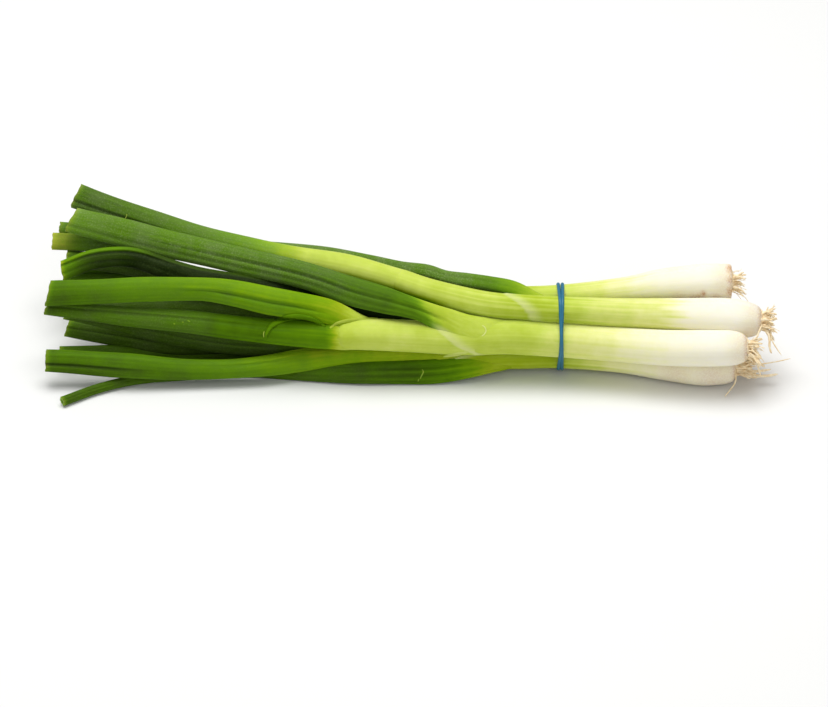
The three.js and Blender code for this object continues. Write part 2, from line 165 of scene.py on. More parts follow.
# Shanks and bulbs
# Each onion's shank is a roll of sheaths, white and swollen at the root end, where it is the bulb, and green
# further up. The outermost sheath ends in a thin pale edge that runs slantwise round the shank.
SHANK_ROUTES = {  # middle line and radius from the root plate up: along, up, back, radius
    "onion_1": [
        (142, 14.8, -16.3, 5.4), (140.5, 14.8, -16.3, 6.8), (135, 14.9, -16.2, 7.5), (123, 14.8, -16, 7.6),
        (106, 15, -14, 7.5), (84, 16.6, -10.5, 7.3), (62.8, 18.5, -8.5, 7.4), (40, 20, -8, 7.5),
        (20, 19, -8, 7.2), (0, 19.8, -8.5, 7), (-20, 20.8, -9, 7), (-30, 20.4, -9, 6.4),
    ],
    "onion_2": [
        (148, 26.5, -8, 5.6), (146.5, 26.6, -8, 6.8), (142, 27, -8, 7.8), (132, 28, -8, 8.2),
        (114, 28.8, -8.5, 7.3), (88, 29.8, -9.2, 6.3), (62.8, 31.2, -9.7, 5.8), (45, 32.3, -9.5, 5.7),
        (28, 34, -8.5, 5.8), (7, 39, -6.5, 5.5), (-6, 43.2, -4.5, 5.6),
    ],
    "onion_3": [
        (135.4, 43.3, 3, 6.2), (134, 43.3, 3, 7), (123, 43.3, 3, 7.5), (106, 41.9, 2.5, 6.8),
        (89, 39.6, 1.5, 5.4), (62.8, 36.8, 0, 5.2), (40, 36.2, 3, 5.2), (18, 37, 6.5, 5),
    ],
    "onion_4": [
        (137, 6.9, -3.4, 5.4), (135.5, 6.9, -3.4, 6.6), (130, 6.8, -3.4, 7.4), (122, 6.7, -3.4, 7.6),
        (106, 8.2, -1.5, 6.8), (88, 10.4, 1, 6), (62.8, 12, 3, 5.6), (45, 11.8, 2.5, 5.6),
        (28, 11.6, 1.5, 5.4), (10, 12.4, 0.5, 4.6),
    ],
    "onion_5": [
        (131, 30.8, 10.8, 5.2), (129.5, 30.8, 10.8, 6.4), (124, 30.6, 10.6, 7.2), (114, 30, 10, 7.2),
        (96, 28, 7.5, 6.2), (62.8, 25.3, 3, 5.4), (30, 24.5, 3.5, 5.2), (-4, 25.5, 3.5, 5),
    ],
    "onion_6": [
        (134, 15.8, 9.7, 5.2), (132.5, 15.8, 9.7, 6.4), (127, 15.8, 9.8, 7.4), (118, 15.8, 9.8, 7.5),
        (98, 16.8, 10.6, 6.4), (62.8, 18.8, 12, 5.3), (30, 18.4, 13, 5.2), (0, 18, 14, 5),
    ],
}
# How green the skin is at places along the bunch: 0 is white, 0.5 yellow-green and 1 dark green. Past 1 is
# painted shade, almost black, for faces deep inside the bunch that hardly any light reaches.
SHANK_GREEN = {
    "onion_1": (
        (-46, 0.88), (-38, 0.84), (-35, 0.66), (-32, 0.47), (-10, 0.42), (22, 0.46), (45, 0.47), (66, 0.33),
        (80, 0.27), (96, 0.17), (112, 0.1), (125, 0.04),
    ),
    "onion_2": (
        (-20, 0.44), (-6, 0.45), (35, 0.46), (50, 0.52), (66, 0.46), (80, 0.36), (106, 0.3), (117, 0.08),
        (130, 0.03),
    ),
    "onion_3": ((18, 0.5), (45, 0.46), (68, 0.38), (80, 0.3), (90, 0.22), (102, 0.09), (118, 0.04)),
    "onion_4": (
        (-4, 0.63), (10, 0.6), (30, 0.62), (58, 0.57), (72, 0.41), (83, 0.26), (104, 0.12), (130, 0.06),
    ),
    # The fifth shank's upper end, seen only through gaps, is painted shade.
    "onion_5": ((-4, 1.12), (14, 1.08), (40, 0.55), (90, 0.35), (110, 0.08), (120, 0.02)),
    "onion_6": ((0, 0.66), (50, 0.55), (88, 0.35), (106, 0.1), (120, 0.03)),
}
# Painted shade on a shank's lower side: how much greener and darker it is, and the places along the bunch
# between which that fades out.
SHANK_LOWER_SIDE_SHADE = {"onion_2": (0.4, 4, 18)}
# How strongly the veins show: the second onion's are the boldest.
SHANK_VEINS = {
    "onion_1": 0.4, "onion_2": 0.75, "onion_3": 0.6, "onion_4": 0.5, "onion_5": 0.6, "onion_6": 0.6,
}
# The shoulder that rounds the bulb off to its root plate: its length, and how far it narrows, as a share. The
# third onion was cut straight across.
SHOULDERS = {
    "onion_1": (9, 0.48), "onion_2": (9.5, 0.48), "onion_3": (1.8, 0.14),
    "onion_4": (7, 0.42), "onion_5": (6, 0.4), "onion_6": (6, 0.4),
}
# Dry brown places, and warm painted shade under the fourth bulb: along, up, size and strength.
DRY_AND_SHADED_SPOTS = {
    "onion_1": ((144, 12, 3, 0.3),),
    "onion_2": ((149, 25, 3, 0.3),),
    "onion_3": ((123.5, 38.2, 1.1, 1), (121.5, 36.8, 1.5, 0.7), (119, 35.6, 2, 0.8), (123, 35.2, 2.2, 0.75),
                (135.2, 49, 2.4, 0.85), (135.4, 44, 2.6, 0.7), (135.4, 39, 2.4, 0.85),
                (129, 36, 2.4, 0.5), (113, 36, 3, 0.3)),
    # Its two broad low spots are painted warm shade on the bulb's underside.
    "onion_4": ((136, 4, 3, 0.3), (128, 1, 9, 0.28), (112, 3, 8, 0.22)),
    "onion_5": ((131, 30, 2, 0.3),),
    "onion_6": ((134, 15, 2, 0.3),),
}
# Where the outermost sheath's edge crosses the eye's side of the shank: up, along.
SHEATH_EDGES = {
    "onion_1": ((12.5, 24.5), (14.6, 19.3), (16.7, 16.3), (19.7, 12.8), (22.7, 9.4), (24.8, 6.4), (26.5, 3)),
    "onion_2": ((26.5, 49.5), (31.2, 47.3), (34.7, 43.5), (38.1, 37.7)),
    "onion_3": ((33, 32), (41, 24)),
    "onion_4": ((9.8, 14.8), (12.8, 23.5), (16, 27)),
    "onion_5": ((20, 12), (30, 2)),
    "onion_6": ((13, 14), (23, 4)),
}
SHEATH_THICK = 0.3
# The inner leaves go on this far inside the outer ones. They narrow by a share over a length, also by some mm
# for each mm of the first few, to clear the outer walls, and end in a round tip.
INNER_LENGTH = 12
INNER_NARROWER, INNER_NARROWED_AFTER = 0.6, 9
INNER_CLEARING = 0.2
INNER_TIP = 3
# The root end closes over this length, under the plate.
ROOT_END = 1.4
SHANK_AROUND = 56  # points round a shank
SHANK_SPACING = 0.95  # from one ring of points to the next
# How much closer the rings lie near a tube's ends than in its middle.
CROWDED = 0.7
ROUTE_STEPS = 1500  # places along a route at which its length is measured
MERGE_WITHIN = 2e-6  # m
# The share of its depth under the table top that a place keeps when the table presses it flat.
PRESSED = 0.05


def through(points, t):
    """Points at t, 0 to 1, on the smooth line through the given ones, evenly shared out between them."""
    points = np.asarray(points, float)
    ends = np.vstack([2 * points[0] - points[1], points, 2 * points[-1] - points[-2]])
    spot = np.clip(t, 0, 1) * (len(points) - 1)
    first = np.minimum(spot.astype(int), len(points) - 2)
    w = (spot - first)[:, None]
    p0, p1, p2, p3 = (ends[first + k] for k in range(4))
    v0, v1 = (p2 - p0) / 2, (p3 - p1) / 2
    return (2 * p1 - 2 * p2 + v0 + v1) * w**3 + (3 * p2 - 3 * p1 - 2 * v0 - v1) * w**2 + v0 * w + p1


def placed(stations):
    """Places, in mm in the part's frame, of along, up and back as the eye sees them."""
    along, up, back = np.asarray(stations, float).T[:3]
    spread = 1 + back / EYE_DISTANCE
    sideways = np.outer(along * spread, [1, 0, 0])
    upward = np.outer(EYE_LEVEL + (up - EYE_LEVEL) * spread, UP)
    return ORIGIN_SHIFT + sideways + upward + np.outer(back, BACK)


def seen(points):
    """The opposite of placed: along, up and back of places in mm in the part's frame."""
    away = points - ORIGIN_SHIFT
    back = away @ BACK
    spread = 1 + back / EYE_DISTANCE
    return away[:, 0] / spread, EYE_LEVEL + (away @ UP - EYE_LEVEL) / spread, back


def points_of(piece):
    """The places of a piece's points, in the units of its mesh."""
    spots = np.empty(len(piece.data.vertices) * 3)
    piece.data.vertices.foreach_get("co", spots)
    return spots.reshape(-1, 3)


def sheet(name, columns, rows):
    """A flat sheet of points, and their places from -1 to 1 both ways."""
    bpy.ops.object.select_all(action="DESELECT")
    bpy.ops.mesh.primitive_grid_add(x_subdivisions=columns, y_subdivisions=rows, size=2)
    piece = bpy.context.object
    piece.name = piece.data.name = name
    return piece, points_of(piece)


def rolled(name, route, turn, around, spacing, outline, before=0.0, after=0.0):
    """A sheet rolled into a tube along a route and turned about it by some degrees. outline(t, angle, reach,
    past) gives the width across, the height towards the eye and the shift along of each point, in mm. The
    tube runs on by before and after, in mm, past the route's ends. reach is each ring's distance from the
    route's start, and past how far it is beyond its ends. The sheet's edges are joined, and each point keeps
    its place on the straightened tube, in mm, in "grown"."""
    path = placed(route)
    fine = np.linspace(0, 1, ROUTE_STEPS)
    line = through(path, fine)
    run = np.concatenate([[0], np.cumsum(np.linalg.norm(np.diff(line, axis=0), axis=1))])
    length = run[-1]
    tube, flat = sheet(name, around, int((length + before + after) / spacing))
    angle = -np.pi * (flat[:, 0] + 1)
    # Rings lie closer together near both ends, where the shape changes most.
    share = (flat[:, 1] + 1) / 2
    share = share - CROWDED * np.sin(2 * np.pi * share) / (2 * np.pi)
    reach = -before + share * (length + before + after)
    t = np.interp(reach, run, fine)
    past = np.where(reach < 0, reach, np.maximum(reach - length, 0))
    step = 0.002
    tangent = through(path, np.minimum(t + step, 1)) - through(path, np.maximum(t - step, 0))
    tangent /= np.linalg.norm(tangent, axis=1)[:, None]
    across = np.cross(BACK, tangent)
    across /= np.linalg.norm(across, axis=1)[:, None]
    out = np.cross(across, tangent)
    lean = math.radians(turn)
    across, out = (
        across * math.cos(lean) + np.cross(tangent, across) * math.sin(lean),
        out * math.cos(lean) + np.cross(tangent, out) * math.sin(lean),
    )
    wide, high, on = outline(t, angle, reach, past)
    spot = through(path, t) + tangent * (past + on)[:, None] + across * wide[:, None] + out * high[:, None]
    # What lies on the table is pressed flat by it.
    spot[:, 2] = np.maximum(spot[:, 2], PRESSED * spot[:, 2])
    tube.data.vertices.foreach_set("co", (spot * MM).ravel())
    size = through([[station[3]] for station in route], t)[:, 0]
    grown = np.stack([np.cos(angle) * size, np.sin(angle) * size, reach], 1)
    tube.data.attributes.new("grown", "FLOAT_VECTOR", "POINT").data.foreach_set("vector", grown.ravel())
    tube["length"] = float(length)
    bpy.ops.object.mode_set(mode="EDIT")
    bpy.ops.mesh.select_all(action="SELECT")
    bpy.ops.mesh.remove_doubles(threshold=MERGE_WITHIN)
    bpy.ops.object.mode_set(mode="OBJECT")
    bpy.ops.object.shade_smooth()
    return tube


def grown_of(piece):
    """The places of a piece's points on the straightened tube, in mm."""
    spots = np.empty(len(piece.data.vertices) * 3)
    piece.data.attributes["grown"].data.foreach_get("vector", spots)
    return spots.reshape(-1, 3)


def paint(piece, name, values):
    """Gives each point of a piece a value, for its material to read."""
    values = np.asarray(values, float) * np.ones(len(piece.data.vertices))
    piece.data.attributes.new(name, "FLOAT", "POINT").data.foreach_set("value", values)


def ease(low, high, value):
    """0 at low, 1 at high, and a smooth step between."""
    w = np.clip((value - low) / (high - low), 0, 1)
    return w * w * (3 - 2 * w)


def set_stops(ramp, stops):
    """Gives a colour ramp its stops, each a place from 0 to 1 and an sRGB colour."""
    while len(ramp.color_ramp.elements) < len(stops):
        ramp.color_ramp.elements.new(0.5)
    for stop, (at, colour) in zip(ramp.color_ramp.elements, stops):
        stop.position = at
        stop.color = linear(colour)


def plant_skin(name, greens, bloom_colour, roughness, sheen):
    """Skin of an onion or a leaf. Veins run lengthwise about 0.8 mm apart, in bands about 2 mm apart, darker
    where the skin is greener. Each point's attributes say how green it is, past 1 painted shade, how strong
    its veins are, and how much pale sheath edge, dry brown skin and painted warm shade, wax bloom, and
    painted shade and highlight of a fold it has."""
    skin, surface, links = new_material(name)
    grown = add_node(skin, "ShaderNodeAttribute", {"attribute_name": "grown"}, {}, "Vector")
    lengthwise = add_node(
        skin, "ShaderNodeMapping", {}, {"Vector": grown, "Scale": (1, 1, 0.006)}, "Vector"
    )
    fibres, bands, clouds, powder = [
        add_node(
            skin,
            "ShaderNodeTexNoise",
            {},
            {"Vector": vector, "Scale": scale, "Detail": detail, "Roughness": 0.6},
            "Fac",
        )
        for vector, scale, detail in (
            (lengthwise, 1.3, 2), (lengthwise, 0.5, 1), (grown, 0.1, 3), (grown, 1.6, 2),
        )
    ]
    strength = {
        key: add_node(skin, "ShaderNodeAttribute", {"attribute_name": key}, {}, "Fac")
        for key in ("green", "vein", "edge", "dry", "bloom", "fold")
    }
    # What each pattern adds: the pattern, the part of its range that counts, and what that becomes.
    for key, pattern, low, high, to_low, to_high in (
        ("fibre lines", fibres, 0.35, 0.65, -0.07, 0.07),
        ("band lines", bands, 0.4, 0.6, -0.09, 0.09),
        ("cloudy green", clouds, 0.3, 0.7, -0.035, 0.035),
        ("cloudy dust", clouds, 0.35, 0.7, 0.05, 0.4),
        ("specks of dust", powder, 0.5, 0.72, 0, 0.5),
        ("fibres in the edge", fibres, 0.35, 0.65, 0.75, 1.1),
        ("grain of the dry skin", powder, 0.3, 0.65, 0.4, 1.2),
        ("roughness", clouds, 0.3, 0.7, roughness - 0.06, roughness + 0.08),
    ):
        strength[key] = add_node(
            skin,
            "ShaderNodeMapRange",
            {},
            {"Value": pattern, "From Min": low, "From Max": high, "To Min": to_low, "To Max": to_high},
            "Result",
        )
    darkest = greens[-1][0]
    strength["darkest"] = darkest
    # How the patterns and the attributes come together, one step after another.
    for key, operation, first, second in (
        ("lines", "ADD", "fibre lines", "band lines"),
        ("lines", "MULTIPLY", "lines", "vein"),
        ("lines", "MULTIPLY", "lines", "green"),
        ("shade", "ADD", "green", "lines"),
        ("shade", "ADD", "shade", "fold"),
        ("shade", "ADD", "shade", "cloudy green"),
        ("shade", "DIVIDE", "shade", "darkest"),
        ("dust", "ADD", "cloudy dust", "specks of dust"),
        ("bloom", "MULTIPLY", "dust", "bloom"),
        ("edge", "MULTIPLY", "edge", "fibres in the edge"),
        ("dry", "MULTIPLY", "dry", "grain of the dry skin"),
    ):
        strength[key] = add_node(
            skin, "ShaderNodeMath", {"operation": operation}, {0: strength[first], 1: strength[second]}
        )
    colour = add_node(skin, "ShaderNodeValToRGB", {}, {"Fac": strength["shade"]}, "Color")
    set_stops(colour.node, [(at / darkest, green) for at, green in greens])
    # Laid over the greens: wax bloom, pale sheath edge, and dry brown, which also paints warm shade.
    for key, laid_over in (("bloom", bloom_colour), ("edge", "#E4E3B4"), ("dry", "#C08A55")):
        colour = add_node(
            skin,
            "ShaderNodeMix",
            {"data_type": "RGBA"},
            {FACTOR: strength[key], COLOUR_A: colour, COLOUR_B: linear(laid_over)},
            MIXED_COLOUR,
        )
    bumps = add_node(
        skin, "ShaderNodeBump", {}, {"Strength": 0.3, "Distance": 0.0003, "Height": fibres}, "Normal"
    )
    links.new(colour, surface.inputs["Base Color"])
    links.new(bumps, surface.inputs["Normal"])
    links.new(strength["roughness"], surface.inputs["Roughness"])
    surface.inputs["IOR"].default_value = 1.4
    surface.inputs["Specular IOR Level"].default_value = 0.04
    surface.inputs["Subsurface Weight"].default_value = 0.2
    surface.inputs["Subsurface Radius"].default_value = (1.0, 0.9, 0.2)
    surface.inputs["Subsurface Scale"].default_value = 0.002
    surface.inputs["Sheen Weight"].default_value = sheen
    surface.inputs["Sheen Roughness"].default_value = 0.4
    surface.inputs["Sheen Tint"].default_value = linear("#DDE8C8")
    return skin


# Fresh onion skin: moist and slightly see-through, white at the bulb and green higher up.
GREENS = (
    (0.0, "#F1EDDE"), (0.12, "#EEEACB"), (0.22, "#E5E5A5"), (0.32, "#D7DC80"), (0.42, "#C0CF5B"),
    (0.52, "#AABD39"), (0.62, "#95A91A"), (0.72, "#729806"), (0.82, "#5A8305"), (0.9, "#4D7305"),
    # The stop past 1, almost black, is painted shade.
    (1.0, "#3A5604"), (1.2, "#142303"),
)
onion_skin = plant_skin("fresh_onion_skin", GREENS, "#DDE8C8", 0.42, 0.0)

for onion, route in SHANK_ROUTES.items():
    ups, alongs = zip(*SHEATH_EDGES[onion])
    shoulder, narrowing = SHOULDERS[onion]

    def shank_outline(t, angle, reach, past):
        # The shoulder below rounds the root end off, so the route's own narrowing is left out.
        radii = [route[2][3]] * 2 + [station[3] for station in route[2:]]
        radius = through(np.array(radii)[:, None], t)[:, 0]
        middle = through(np.asarray(route)[:, :2], t)
        up = middle[:, 1] + radius * np.cos(angle)
        beyond = middle[:, 0] - np.interp(up, ups, alongs)
        radius = radius + SHEATH_THICK * (ease(0, 0.8, beyond) - 0.5)
        rounding = np.sqrt(1 - np.clip(1 - reach / shoulder, 0, 1) ** 2)
        radius = radius * (1 - narrowing + narrowing * rounding)
        # The root end closes under the plate.
        closing = np.minimum(past, 0)
        radius = radius * np.sqrt(np.clip(1 + closing / ROOT_END, 0, 1))
        inner = np.maximum(past, 0)
        radius = radius * (1 - INNER_NARROWER * ease(0, INNER_NARROWED_AFTER, inner))
        radius = radius - INNER_CLEARING * np.minimum(inner, INNER_TIP)
        radius = radius * np.sqrt(1 - np.clip((inner - INNER_LENGTH + INNER_TIP) / INNER_TIP, 0, 1) ** 2)
        uneven = 1 + 0.012 * np.sin(3 * angle + reach * 0.05) + 0.008 * np.sin(5 * angle - reach * 0.08)
        return radius * uneven * np.cos(angle), radius * uneven * np.sin(angle), -0.9 * closing

    shank = rolled(
        onion + "_skin", route, 0, SHANK_AROUND, SHANK_SPACING, shank_outline, ROOT_END, INNER_LENGTH
    )
    along, up, _ = seen(points_of(shank) / MM)
    beyond = along - np.interp(up, ups, alongs)
    around = np.arctan2(*grown_of(shank).T[1::-1])
    # The green runs out in streaks, long ones between the band and the bulb and short ones elsewhere.
    fringe = 0.9 * np.sin(7 * around) + 0.6 * np.sin(17 * around + 1) + 0.4 * np.sin(31 * around + 2)
    fringe *= np.where(along > 60, 3, 0.4)
    green = np.interp(along + fringe, *zip(*SHANK_GREEN[onion]))
    # The lower side is painted greener and darker, as shade, where the shank opens into its leaves.
    if onion in SHANK_LOWER_SIDE_SHADE:
        greener, start, end = SHANK_LOWER_SIDE_SHADE[onion]
        green += greener * ease(0.35, 0.9, -np.cos(around)) * (1 - ease(start, end, along))
    paint(shank, "green", green)
    # The veins are fainter where the shank opens into its leaves.
    opening = route[-1][0]
    paint(shank, "vein", SHANK_VEINS[onion] * (0.3 + 0.7 * ease(opening + 8, opening + 35, along)))
    # The thin free edge of the outermost sheath is pale, and fades into the sheath.
    paint(shank, "edge", 0.4 * ease(-0.4, 0.5, beyond) * (1 - ease(1, 7.5, beyond)))
    # Dry brown spots, together with the painted warm shade under the fourth bulb.
    dry = np.zeros(len(along))
    for spot_along, spot_up, spot_size, strength in DRY_AND_SHADED_SPOTS[onion]:
        apart = np.hypot(along - spot_along, up - spot_up) / spot_size
        dry = np.maximum(dry, strength * np.exp(-(apart**2)))
    # The root end is tinted by its plate, most of all at the very rim.
    rim = route[0][0]
    end_tint = 0.18 * ease(rim - 10, rim - 2, along) + 0.34 * ease(rim - 2, rim, along)
    paint(shank, "dry", np.maximum(dry, end_tint))
    shank.data.materials.append(onion_skin)
    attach(shank, "root")
    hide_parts(onion + "_shank")

# Leaves
# Each is a hollow tube, pressed flat by its neighbours and cut across with a knife at its end. It comes out
# of the shank yellow-green and turns dark green, with a dull wax bloom, as it gets further out.
LEAF_AROUND = 48  # points round a leaf
LEAF_SPACING = 1.25  # from one ring of points to the next
LEAF_WALL = 0.8
# How far the leaves of the front onions run back into their shank, and those of the others.
ROOTED, ROOTED_HIDDEN = 15, 6
# Each leaf: its middle line from the collar to the cut, as along, up, back and half width; thickness over
# width at both ends; lean of the wide face in degrees; slant of the cut; greenness along the bunch, past 1
# painted shade; bloom; creases, as place across, depth in mm, and the shares of the leaf's length between
# which they run.
LEAVES = {
    "onion_1_leaf_1": (
        [(43, 19.8, -9.4, 7.1), (35, 20, -10.6, 7.6), (28, 20.5, -11.6, 7.8), (21, 22.6, -12.2, 6.9),
         (14, 26, -12.8, 5.8), (8, 28.7, -13.4, 5), (2, 31.2, -13.8, 4.5), (-5, 33.3, -13.7, 4.9),
         (-13, 35.3, -12.6, 5.7), (-27, 39.2, -9.5, 6.2), (-49, 46.4, -1, 5.8), (-92, 56.3, 10.5, 5.9),
         (-122, 63.5, 15.5, 6.2), (-147, 70, 18.5, 5.6)],
        (0.5, 0.42), 0, 0.25,
        ((-147, 0.84), (-130, 0.9), (-90, 0.92), (-20, 0.94), (-1, 0.9), (3, 0.82), (7, 0.62), (11, 0.54),
         (20, 0.49), (42, 0.47)), 0.45,
        ((0, 1.1, 0.28, 0.88), (-0.5, 0.4, 0.42, 1.0)),
    ),
    "onion_1_leaf_2": (
        [(-24, 25.5, -9.5, 4), (-36, 30, -11.5, 5.4), (-49, 33, -13, 5.6), (-62, 35.2, -13, 6),
         (-78, 38.4, -12.5, 5.6), (-92, 40.2, -12, 5), (-113, 40, -11, 5.3), (-135, 39.2, -10, 5.3),
         (-157, 38.2, -9, 5.5)],
        (0.6, 0.5), 0, 0.28,
        ((-150, 0.92), (-120, 0.81), (-80, 0.77), (-50, 0.74), (-36, 0.68), (-26, 0.5)), 0.1,
        ((-0.12, 1.1, 0.1, 0.62),),
    ),
    "onion_1_leaf_3": (
        [(-30.5, 20, -9, 6), (-44, 21, -9, 6), (-62, 22, -8.5, 5.4), (-92, 25.6, -7.5, 5),
         (-126, 28.8, -6.5, 4.2), (-158, 32, -5, 2.8)],
        (0.85, 0.5), 0, 0.2,
        ((-150, 0.98), (-110, 0.94), (-70, 0.92), (-50, 0.86), (-38, 0.83), (-35, 0.66), (-32, 0.47)), 0.2,
        ((0.3, 0.5, 0.25, 1.0),),
    ),
    "onion_2_leaf_1": (
        [(51, 36, -8.5, 3.4), (42, 40.2, -8, 3.6), (32, 42.3, -6.5, 3.5), (22, 43.9, -4.5, 3.4),
         (13, 45.4, -2.4, 3), (5, 47.7, 0, 3.2), (-6, 49.4, 3, 2.8), (-20, 52.2, 6.5, 3),
         (-40, 55.2, 11.5, 3.5), (-70, 57.4, 19, 4), (-105, 59, 23.5, 4.2), (-155, 60.6, 27, 3.9)],
        (0.7, 0.6), 20, 0,
        ((-156, 0.74), (-148, 0.84), (-136, 0.94), (10, 0.93), (32, 0.9), (42, 0.74), (50, 0.6)), 0.6,
        ((0.1, 0.3, 0.1, 0.5),),
    ),
    "onion_2_leaf_2": (
        [(-6.6, 43.4, -4.4, 5.4), (-27, 49, 0, 5.7), (-49, 53, 5.5, 5.2), (-70, 57.4, 11, 4.8),
         (-92, 62.6, 16, 5), (-113, 69, 19.5, 5.2), (-135, 76.4, 22, 5.4), (-145, 80, 23, 5.6)],
        (0.9, 0.5), 0, 0.1,
        ((-145, 1), (-125, 0.97), (-90, 0.88), (-70, 0.78), (-54, 0.61), (-47, 0.46), (-6, 0.43)), 0.35,
        ((-0.4, 1.0, 0.6, 1.0),),
    ),
    "onion_3_leaf_1": (
        [(17, 37.6, 7, 4.6), (0, 43.5, 13, 4), (-25, 50, 20, 4), (-50, 54.4, 25, 4),
         (-100, 62, 28.5, 3.6), (-152, 66.6, 31, 2.6)],
        (0.9, 0.55), 20, 0, ((-150, 0.92), (-60, 0.94), (0, 0.8), (17, 0.6)), 0.3, (),
    ),
    # Past its tip it lies in the broad leaf's shadow, which is painted shade.
    "onion_3_leaf_2": (
        [(17.4, 34, 8.5, 4), (0, 37, 12.5, 4), (-25, 39, 16, 4), (-50, 40, 18, 4),
         (-76, 41.6, 21, 4.2), (-100, 45.4, 23.5, 4.4), (-125, 50.4, 25.5, 4.3), (-149, 53.4, 26.5, 4)],
        (0.8, 0.6), 30, 0,
        ((-149, 0.88), (-146, 0.94), (-142, 1), (-136, 1.08), (-60, 1.08), (0, 0.9), (17, 0.6)), 0.3,
        ((0, 0.7, 0.4, 1.0),),
    ),
    "onion_3_leaf_3": (
        [(17.4, 31, 12, 3.6), (0, 29, 18, 3.8), (-30, 24.6, 25, 4), (-60, 21.6, 27, 4),
         (-90, 21, 27.4, 4), (-120, 22.8, 29.6, 3.8), (-146, 25.8, 33, 3.6)],
        (0.8, 0.6), 55, 0, ((-150, 0.95), (-60, 0.95), (0, 0.85), (17, 0.6)), 0.3, ((0, 0.7, 0.3, 1.0),),
    ),
    "onion_4_leaf_1": (
        [(34, 9, 0, 4.4), (22, 7.4, -1, 5.6), (8, 5.7, -0.8, 6), (-8, 5, -1, 5.6), (-24, 4.7, -1.4, 5),
         (-46, 4.9, 0.6, 4.2), (-62, 5.5, 3.4, 3.9), (-80, 6.4, 5.6, 3.7), (-120, 9.2, 9, 3.5),
         (-146, 10, 9, 3)],
        (0.6, 0.45), 0, 0, ((-20, 0.97), (-4, 0.96), (8, 0.9), (18, 0.82), (26, 0.7), (34, 0.62)), 0.12,
        ((0.2, 0.6, 0.05, 0.4), (-0.35, 0.4, 0.0, 0.4)),
    ),
    "onion_4_leaf_2": (
        [(9.4, 12.6, 0.4, 4.6), (-8, 12.8, -0.4, 4.4), (-28, 12, -1, 4.4), (-49, 9.6, -1.6, 4.9),
         (-64, 7.4, -3.6, 4.5), (-80, 5.9, -4.6, 4.2), (-100, 5.9, -5.6, 4.6), (-122, 7.2, -6.4, 5.4),
         (-144, 8.9, -6.8, 5.1), (-158, 9.5, -7, 4.8)],
        (0.9, 0.5), 0, 0, ((-150, 0.94), (-100, 0.88), (-70, 0.78), (-45, 0.69), (-20, 0.65), (9, 0.6)), 0.08,
        ((-0.3, 1.2, 0.72, 1.0), (0.3, 0.5, 0.3, 0.6)),
    ),
    "onion_4_leaf_3": (
        [(-42, 5.6, 0.6, 1.6), (-60, 4.6, 0.2, 2), (-80, 4, 0, 2.1), (-100, 3, -0.6, 2.1),
         (-118, 1.5, -2.4, 2.1), (-135, -2.2, -6.9, 2.1), (-151, -7.9, -15, 2.1)],
        (0.8, 0.8), 0, 0, ((-150, 0.97), (-40, 0.97)), 0.1, ((0.1, 0.25, 0.4, 1.0),),
    ),
    # The arch is painted shade, except for its lit rim near the cut.
    "onion_5_leaf_1": (
        [(-4.6, 27, 3.4, 4.6), (-23, 31.4, 3.6, 4.4), (-58, 39.3, 4.5, 4.4), (-75, 42.4, 5.5, 4.4),
         (-92, 45, 7, 4.5), (-106, 49, 8.5, 4.5), (-118, 53, 10, 4.4), (-127, 54, 11, 4.3),
         (-139, 52.5, 12, 4.3), (-151, 48, 13, 4.3)],
        (0.8, 0.5), 0, 0.2,
        ((-150, 0.8), (-128, 0.85), (-118, 0.95), (-110, 1.1), (-60, 1.14), (-4, 1.1)), 0.1,
        ((0.5, 1.0, 0.5, 1.0), (-0.3, 0.4, 0.4, 1.0)),
    ),
    # Deep in the bunch: painted shade.
    "onion_5_leaf_2": (
        [(-4.6, 22, 3.6, 4.2), (-25, 18, 4.5, 4.2), (-53, 15.6, 5, 4.3), (-75, 16.2, 4.4, 4.4),
         (-96, 19, 3, 4.4), (-120, 24, 1.6, 4), (-142, 28.6, 0.6, 3), (-150, 29.8, 0.2, 2.6)],
        (0.8, 0.5), 0, 0, ((-150, 1), (-130, 1.06), (-4, 1.06)), 0.2, ((0, 0.5, 0.3, 0.9),),
    ),
    # Deep in the bunch: painted shade.
    "onion_5_leaf_3": (
        [(-4.6, 23.6, 8, 3.4), (-25, 21.5, 10.5, 4), (-50, 19, 11.5, 4.2), (-80, 16.8, 10, 4.3),
         (-105, 16.6, 8.8, 4.3), (-126, 19.6, 8.4, 4.2), (-149, 23.4, 7.6, 3.6)],
        (0.8, 0.5), 0, 0.15, ((-150, 0.96), (-130, 1.06), (-4, 1.06)), 0.2, ((0.1, 0.6, 0.4, 1.0),),
    ),
    "onion_6_leaf_1": (
        [(-0.6, 16, 13.6, 3.8), (-25, 14.6, 14.6, 3.8), (-60, 13.8, 14.4, 4), (-100, 13.8, 11.6, 3.8),
         (-130, 13, 8, 3.4), (-152, 13, 3.6, 2.8)],
        (0.8, 0.6), 10, 0, ((-150, 0.93), (0, 0.95)), 0.2, (),
    ),
    # Deep in the bunch: painted shade.
    "onion_6_leaf_2": (
        [(-0.6, 21, 13.4, 3.8), (-25, 26.4, 14, 4), (-60, 30.4, 14, 4.2), (-90, 32.6, 13.6, 4.2),
         (-120, 32.4, 13, 3.8), (-149, 30.6, 12.6, 3)],
        (0.8, 0.55), 10, 0, ((-150, 0.98), (-130, 1.06), (0, 1.06)), 0.2, (),
    ),
    "onion_6_leaf_3": (
        [(-0.6, 19.6, 17.6, 3.6), (-25, 25, 21.5, 3.8), (-60, 34, 25.5, 4.2), (-100, 42, 29.5, 4.4),
         (-128, 45.6, 31.5, 4.3), (-149, 46, 32.5, 4)],
        (0.8, 0.6), 30, 0, ((-150, 0.93), (0, 0.95)), 0.2, ((0, 0.8, 0.3, 1.0),),
    ),
}
# The broad leaf turns green slantwise: by this many mm sooner on its lower side than in the middle.
GREEN_SLANT = {"onion_1_leaf_1": 4}
